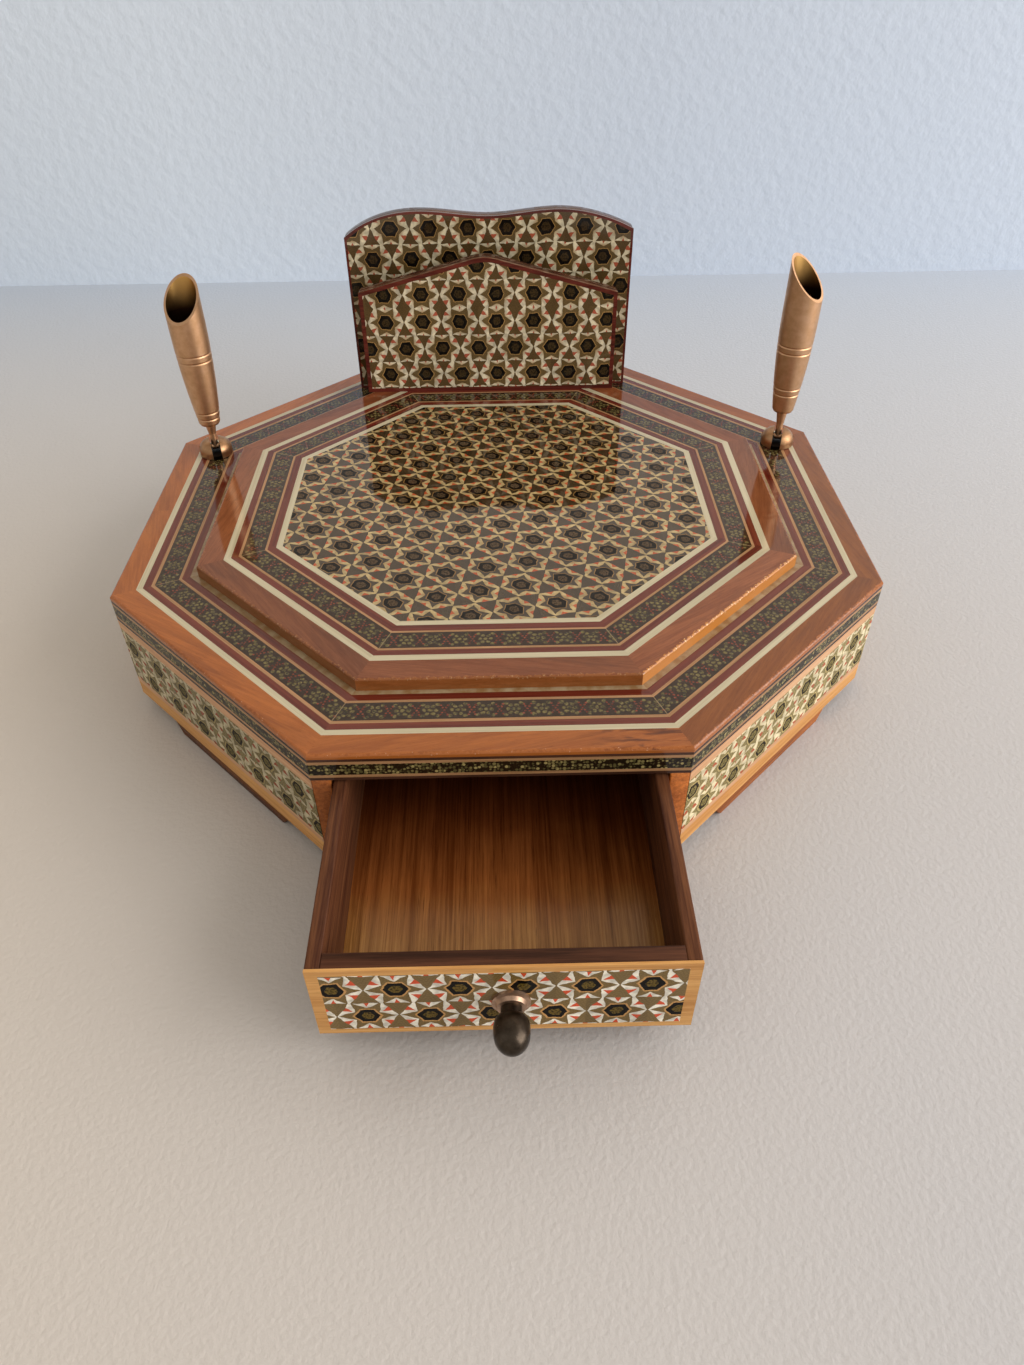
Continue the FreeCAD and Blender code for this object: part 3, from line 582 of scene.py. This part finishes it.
def band_khatam(name, strips, outer, width):
    """Clusters of small olive rods and crosses of red ones, by turns, on a near-black ground. A light
    joint shows in each mitre. The outer edge is so far from the octagon's middle, in millimetres."""
    finish, tree, surface = new_finish(name, Roughness=0.45, Coat_Weight=1.0, Coat_Roughness=0.06,
                                       Coat_IOR=LACQUER_IOR, IOR=LACQUER_IOR)
    place, (along, out, _), _ = on_strips(tree, strips)
    x, y, _ = split(tree, unevenly(tree, place, 0.5, 0.9))
    repeat = 7.75
    run = folded_about(tree, calc(tree, "FLOORED_MODULO", x, repeat), repeat / 2)
    across = folded_about(tree, y, outer - width / 2)
    folded = add(tree, "CombineXYZ", {0: run, 1: across})
    flower = rod_bundle(tree, folded, ((0, 0), (1.6, 0), (0.8, 1.45), (2.1, 2.3)), 0.62)
    arms = [(repeat / 2 - aside, ahead) for aside, ahead in ((0, 0), (0.55, 0.95), (1.0, 1.9))]
    cross = rod_bundle(tree, folded, arms, 0.32)
    mottle = ranged(tree, noise(tree, place, 1.1, 2.0), 0.34, 0.66)
    ground = mix(tree, noise(tree, place, 0.55, 3.0), "#140B05", "#3A2412")
    flowered = mix(tree, flower, ground, mix(tree, mottle, "#2A2616", "#786C40"))
    crossed = mix(tree, cross, flowered, mix(tree, mottle, "#4A1C12", "#904430"))
    to_mitre = calc(tree, "MULTIPLY", out, math.tan(EIGHTH_TURN / 2))
    to_mitre = calc(tree, "SUBTRACT", to_mitre, calc(tree, "ABSOLUTE", along))
    in_mitre = calc(tree, "LESS_THAN", to_mitre, 0.13)
    feed(surface, Base_Color=mix(tree, in_mitre, crossed, "#8A7656"))
    return finish


top_band_edge = (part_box("top_khatam_band")[1].x - middle.x) * MM
dress(nodes["top_khatam_band"], band_khatam("khatam_of_the_top", box_strips, top_band_edge, width=7.1))

# ---- Platform ----
# A low octagonal board on the middle of the top, faced in the same way round a field of stars. Its border
# strips cover the board's edge, where the thick lacquer shows orange, with painted light making the
# front-right face bright.
border_deep = wood("walnut_platform_border_lacquered", "#8E5230", "#763E20", platform_strips, length=12,
                   width=0.8, lean=-10, pores="#401C0C", pore_share=0.5, heartwood=0.35, lacquer=1.0,
                   gloss=0.05, roughness=0.4)
# the platform's border is darker at the front and left and brighter at the front-right: painted light and
# shade
painted_light_by_strip(border_deep, platform_strips, {FRONT_LEFT: 0.8, FRONT: 0.92, RIGHT: 0.85, FRONT_RIGHT: 1.1})
# its arris and outer face: worn lacquer with painted highlight, and painted light on the lit front-right face
arris_wear_and_highlight(border_deep, platform_strips, (platform_high.x - platform_middle.x) * MM, platform_high.z * MM,
           "#D08A3E", "#F0D8A8", lit_side=FRONT_RIGHT)
dress(nodes["platform_border_wood"], border_deep)
dress(nodes["platform_board"], bare_board)
platform_band_edge = (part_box("platform_khatam_band")[1].x - platform_middle.x) * MM
dress(nodes["platform_khatam_band"], band_khatam("khatam_of_the_platform", platform_strips,
                                                 platform_band_edge, width=7.2))


def on_platform(tree):
    """Across the platform from one star's middle. The sheet was laid turned by 12 degrees, and its
    bundle was squeezed a little askew when it was glued."""
    centred = vector(tree, "SUBTRACT", on_object(tree), (middle.x, middle.y, 0))
    turned = rotated(tree, scaled_by(tree, MM, centred), math.radians(-12))
    first_star = (-2.5, -19.8, 0)
    x, y, _ = split(tree, vector(tree, "SUBTRACT", turned, first_star))
    askew = calc(tree, "MULTIPLY_ADD", y, 0.141, x)
    squeezed = calc(tree, "MULTIPLY", y, 0.985)
    return add(tree, "CombineXYZ", {0: askew, 1: squeezed})


platform_stars = khatam("khatam_of_the_platform_field", on_platform, row=11.82, pitch=13.65,
                        cream="#B6A070", brown="#3E301C", olive="#3C2E1A", ochre="#94703E", heart="#584632",
                        tip="#B0502A", radii=(1.6, 2.95, 3.25), wings=(3.8, 0.54), start=(0, 0), tan=0.7,
                        tip_start=5.0, tip_slope=0.95, joints=(0.4, "#1C140C"), gloss=0.04, coat_ior=1.62)
dress(nodes["platform_khatam_field"], platform_stars)

# ---- Card holder ----
# Two upright boards glued to the stand, the tall one behind, with a pocket between them closed by
# two short ends. Each board is veneered in front with khatam and edged with a dark-red line.
panel_wood = wood("walnut_panel_lacquered", "#5E3826", "#341C12", SIDEWAYS, length=28, width=1.4,
                  lacquer=0.9, roughness=0.4)
for name in ("holder_back", "holder_front"):
    dress(eased_copy(name + "_panel", name + "_board", 0.0007), panel_wood)
for side in ("left", "right"):
    dress(eased_copy("holder_" + side + "_side", "holder_" + side + "_end", 0.0004), panel_wood)
red_edge = wood("dyed_red_edging_lacquered", "#6B2A20", "#451510", SIDEWAYS, length=30, width=1.0,
                lacquer=1.0, gloss=0.06, roughness=0.4)
# its narrow top face is paler: bare wood, brightened by painted light from above
tree, surface, dyed = reopened(red_edge)
facing = split(tree, add(tree, "NewGeometry").outputs["Normal"])
feed(surface, Base_Color=mix(tree, calc(tree, "GREATER_THAN", facing[2], 0.4), dyed, "#70503C"))
dress(nodes["holder_back_border"], red_edge)
dress(nodes["holder_front_border"], red_edge)


def on_upright_face(tree):
    """Across an upright face from the middle of the stand, and up it."""
    x, _, z = split(tree, in_millimetres(tree))
    return add(tree, "CombineXYZ", {0: x, 1: z})


# both panels were sliced from bundles of the same rods
panel_rods = {"radii": (1.6, 2.8, 3.08), "wings": (3.85, 0.52), "tan": 0.8, "tip_start": 4.6,
              "tip_slope": 0.5, "fringe": 0.4}
front_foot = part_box("holder_front_veneer")[0].z * MM
front_stars = khatam("khatam_of_the_front_panel", on_upright_face, row=10.96,
                     start=(1.3, front_foot + 6.0), odd_rows=3, cream="#DCD2B6", brown="#5C482A",
                     olive="#6A5634", ochre="#A8844E", heart="#40321C", tip="#AA5640", **panel_rods)
dress(nodes["holder_front_veneer"], front_stars)
back_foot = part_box("holder_back_veneer")[0].z * MM
back_stars = khatam("khatam_of_the_back_panel", on_upright_face, row=11.68,
                    start=(-1.6, back_foot + 6.1), pitch=15.45, cream="#D2C8AA", brown="#524024",
                    olive="#5C4A2A", ochre="#9A7844", heart="#3C2E1A", tip="#A05038", **panel_rods)
dress(nodes["holder_back_veneer"], back_stars)

# ---- Drawer ----
# Walnut boards butted and glued: the sides run through to the front, with the front and back boards
# between them and the bottom let in between all four. Their rims are eased and lightly oiled.
rim_wood = wood("walnut_drawer_board_oiled", "#744A30", "#43251A", FRONT_TO_BACK, length=30, width=1.0,
                lacquer=0.25, gloss=0.3)
rim_front = wood("walnut_drawer_front_oiled", "#5E3A28", "#341E14", SIDEWAYS, length=30, width=1.0,
                 lacquer=0.25, gloss=0.3)
for side in ("left", "right"):
    dress(eased_copy("drawer_" + side + "_side", "drawer_" + side + "_board", 0.0005), rim_wood)
dress(eased_copy("drawer_front", "drawer_front_board", 0.0005), rim_front)
dress(eased_copy("drawer_back", "drawer_back_board", 0.0005), rim_front)
floor_wood = wood("stained_and_shaded_drawer_bottom", "#FFFFFF", "#B8A894", FRONT_TO_BACK, length=40, width=0.7,
                  pores="#5A3A22", pore_share=0.6, lacquer=0.6, gloss=0.2, roughness=0.4)
# the stain is worn pale towards the front of the drawer and stays dark and red towards the back, where
# painted shade under the top of the box darkens it further
floor_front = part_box("drawer_bottom")[0].y
tree, surface, figured = reopened(floor_wood)
here = on_object(tree)
ragged = calc(tree, "MULTIPLY_ADD", noise(tree, here, 60.0, 3.0), 0.022, split(tree, here)[1])
stain_and_shade = add(tree, "ValToRGB", {0: ranged(tree, ragged, floor_front + 0.011, floor_front + 0.1)})
stain_and_shade.color_ramp.elements[0].color = linear("#B88A50")
stain_and_shade.color_ramp.elements[1].color = linear("#4A2412")
for share, colour in ((0.2, "#AE7C42"), (0.42, "#96582A"), (0.7, "#6A3618")):
    stop = stain_and_shade.color_ramp.elements.new(share)
    stop.color = linear(colour)
stained_and_shaded = add(tree, "Mix", {0: 1.0, 6: figured, 7: stain_and_shade}, data_type="RGBA", blend_type="MULTIPLY")
feed(surface, Base_Color=stained_and_shaded)
dress(nodes["drawer_bottom"], floor_wood)
facing_wood = wood("maple_facing_lacquered", "#DCA866", "#BC8446", SIDEWAYS, length=30, width=0.9,
                   pores="#80552A", pore_share=0.25, lacquer=0.6, gloss=0.12, roughness=0.4)
dress(nodes["drawer_front_frame"], facing_wood)
face_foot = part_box("drawer_front_khatam")[0].z * MM
drawer_stars = khatam("khatam_of_the_drawer", on_upright_face, row=11.5,
                      start=(-3.0, face_foot + 5.9), cream="#F0EBDC", brown="#7A643C", olive="#7A6338",
                      ochre="#C8985C", heart="#6E5A28", tip="#D0502C", radii=(1.45, 2.7, 3.2),
                      wings=(3.5, 0.74), tan=0.1, lacquer=0.6, gloss=0.1)
dress(nodes["drawer_front_khatam"], drawer_stars)

# ---- Drawer knob ----
# A turned brass egg on a stepped rosette, dark with age, held by a steel screw from inside. The
# metal is brighter where fingers rub it.


def worn_brass(name, bright, dull, roughness, grain=0.6):
    """Turned brass under a thin tarnish, in soft patches a few millimetres across."""
    finish, tree, surface = new_finish(name, Metallic=1.0)
    here = in_millimetres(tree)
    cloud = noise(tree, here, 0.35, 4.0, roughness=0.6)
    feed(surface, Base_Color=mix(tree, ranged(tree, cloud, 0.35, 0.65), dull, bright),
         Roughness=ranged(tree, cloud, 0.3, 0.7, roughness + 0.08, roughness - 0.04),
         Normal=bumps(tree, noise(tree, here, 6.0, 3.0), grain, 0.00002))
    return finish


dress(nodes["drawer_knob"], worn_brass("aged_bronze_turned", "#4E453C", "#38312A", 0.3, grain=0.1))
dress(nodes["knob_rosette"], worn_brass("rubbed_brass_turned", "#CCAC94", "#9E826E", 0.44, grain=0.3))
dress(nodes["knob_screw"], worn_brass("steel_screw_bright", "#B8B8BC", "#8C8C90", 0.3))

# ---- Pen sockets ----
# Each funnel is a tapered brass tube with a slanted mouth and two pairs of turned rings. Its tongue
# swings on a pin across a slotted cup, and the cup turns on a stud through the top.
funnel_metal = worn_brass("satin_brass_drawn", "#D0A886", "#C29A74", 0.4, grain=0.25)
cup_brass = worn_brass("satin_brass_cup", "#B8926F", "#A07A58", 0.4, grain=0.25)
LEAN = math.radians(2)          # of both funnels, backwards along their slots
SLOT_YAW = math.radians(18)     # of both slots, from straight ahead
HALF_SLOT = 0.00172             # half the width of the black band of painted shade along each slot, in metres


def recoloured(metal, name):
    """A copy of a metal, opened to be coloured further."""
    copy = metal.copy()
    copy.name = name
    return copy, *reopened(copy)


def darkened_bore(name, pin, yaw, mouth):
    """A funnel's metal, golden inside its mouth, which is mouth metres up from the pin, and dark with painted
    shade further down its bore."""
    finish, tree, surface, clean = recoloured(funnel_metal, name)
    here = add(tree, "TexCoord")
    from_pin = vector(tree, "SUBTRACT", here.outputs["Object"], pin)
    upright = []
    for arrow in (from_pin, here.outputs["Normal"]):
        upright.append(rotated(tree, rotated(tree, arrow, -yaw), LEAN, "X_AXIS"))
    x, y, z = split(tree, upright[0])
    outwards = vector(tree, "NORMALIZE", add(tree, "CombineXYZ", {0: x, 1: y}))
    facing = vector(tree, "DOT_PRODUCT", upright[1], outwards)
    in_bore = calc(tree, "LESS_THAN", facing.outputs["Value"], -0.85)
    # painted shade darkens the bore below the mouth
    bore = mix(tree, ranged(tree, z, mouth - 0.005, mouth + 0.007), "#3E261A", "#DCB06A")
    feed(surface, Base_Color=mix(tree, in_bore, clean, bore))
    return finish


def shaded_slot(name, pin, yaw):
    """A cup's metal, black with painted shade in the slot across it."""
    finish, tree, surface, clean = recoloured(cup_brass, name)
    squared = rotated(tree, vector(tree, "SUBTRACT", on_object(tree), pin), -yaw)
    off_middle = calc(tree, "ABSOLUTE", split(tree, squared)[0])
    in_slot = calc(tree, "LESS_THAN", off_middle, HALF_SLOT)
    feed(surface, Base_Color=mix(tree, in_slot, clean, "#17110C"))
    return finish


for side, yaw, mouth in (("left", SLOT_YAW, 0.0559), ("right", -SLOT_YAW, 0.0599)):
    for name in ("_cup_nut", "_cross_pin"):
        dress(nodes[side + name], funnel_metal)
    pin_low, pin_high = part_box(side + "_cross_pin")
    pin = (pin_low + pin_high) / 2
    dress(nodes[side + "_pen_funnel"], darkened_bore("satin_brass_" + side + "_funnel", pin, yaw, mouth))
    dress(nodes[side + "_swivel_cup"], shaded_slot("satin_brass_" + side + "_cup", pin, yaw))

# ---- Table and wall ----
# A pale matt table top that ends at a rough painted wall behind the stand.
SHEET = 4.0                 # metres across the table top and up the wall


def stage_sheet(name, location, turned_up=False):
    """A flat sheet behind or under the stand, which isn't part of it."""
    bpy.ops.object.select_all(action="DESELECT")
    tilt = (math.pi / 2, 0, 0) if turned_up else (0, 0, 0)
    bpy.ops.mesh.primitive_plane_add(size=SHEET, location=location, rotation=tilt)
    sheet = bpy.context.active_object
    sheet.name = name
    return sheet


def matt_surface(name, tones, left, far, far_between, patch, grain, relief):
    """Matt paint in two close tones, with the fine relief of its coat. It turns to a third tone towards its
    left, and to a fourth, far, between two lines across the sheet: these two are painted light on the sheet."""
    finish, tree, surface = new_finish(name, Roughness=0.75, IOR=1.45)
    here = on_object(tree)
    x, y, _ = split(tree, here)
    mixed = mix(tree, noise(tree, here, patch, 2.0), *tones)
    mixed = mix(tree, ranged(tree, x, 0.1, -0.2), mixed, left)
    mixed = mix(tree, ranged(tree, y, *far_between), mixed, far)
    feed(surface, Base_Color=mixed, Normal=bumps(tree, noise(tree, here, grain, 4.0), 0.4, relief))
    return finish


table_end = middle.y + 0.3735
table = stage_sheet("table_top", (0, table_end - SHEET / 2, 0))
# the table is tinted warm towards the left, painted light bounced off the wood, and blue far back, a painted
# reflection of the wall
dress(table, matt_surface("table_paint_matt", ("#C6C6C9", "#BEBEC0"), left="#D6CEC4", far="#C6CED9",
                          far_between=(1.6, 2.0), patch=3.0, grain=600.0, relief=0.0006))
wall = stage_sheet("wall", (0, table_end, 1.9), turned_up=True)
# the wall is paler towards the left and warmer higher up: painted light
dress(wall, matt_surface("wall_paint_rough", ("#CCD8E8", "#C4D0E0"), left="#DCE8F6", far="#F6F0E8",
                         far_between=(-1.72, -1.64), patch=2.5, grain=150.0, relief=0.002))

# ---- Light ----
# Daylight from all round, with more of it from a broad window high on the right.
world = bpy.data.worlds.new("daylight")
bpy.context.scene.world = world
world.use_nodes = True
sky = world.node_tree.nodes["Background"].inputs
sky["Color"].default_value = linear("#FFF7EC")
sky["Strength"].default_value = 0.59
window_at = Vector((1.5, -0.5, 0.66))
window_towards = Vector((0, middle.y, 0.03))
bpy.ops.object.light_add(type="AREA", location=window_at)
window = bpy.context.active_object
window.name = "window_right"
window.data.shape = "SQUARE"
window.data.size = 1.6
window.data.energy = 31.0
window.data.color = linear("#FFF9F4")[:3]
window.rotation_euler = (window_towards - window_at).to_track_quat("-Z", "Y").to_euler()

# ---- Camera ----
# A short lens, held above the drawer and looking down at the stand.
azimuth, elevation, roll = (math.radians(a) for a in (-0.6802, 41.6741, -0.6942))
back = Vector((math.sin(azimuth) * math.cos(elevation), -math.cos(azimuth) * math.cos(elevation),
               math.sin(elevation)))
right = (-back).cross(Vector((0, 0, 1))).normalized()
up = right.cross(-back)
right, up = (math.cos(roll) * right + math.sin(roll) * up, math.cos(roll) * up - math.sin(roll) * right)
eye = Vector((middle.x + 0.00118, middle.y - 0.30247, base_top + 0.18260))
focal_pixels, frame_height, sensor = 956.72, 1365, 36
camera_data = bpy.data.cameras.new("camera")
camera_data.lens = focal_pixels / frame_height * sensor
camera_data.sensor_width = sensor
camera = bpy.data.objects.new("camera", camera_data)
bpy.context.scene.collection.objects.link(camera)
camera.matrix_world = Matrix.Translation(eye) @ Matrix((right, up, back)).transposed().to_4x4()
bpy.context.scene.camera = camera
bpy.context.scene.view_settings.view_transform = "Standard"
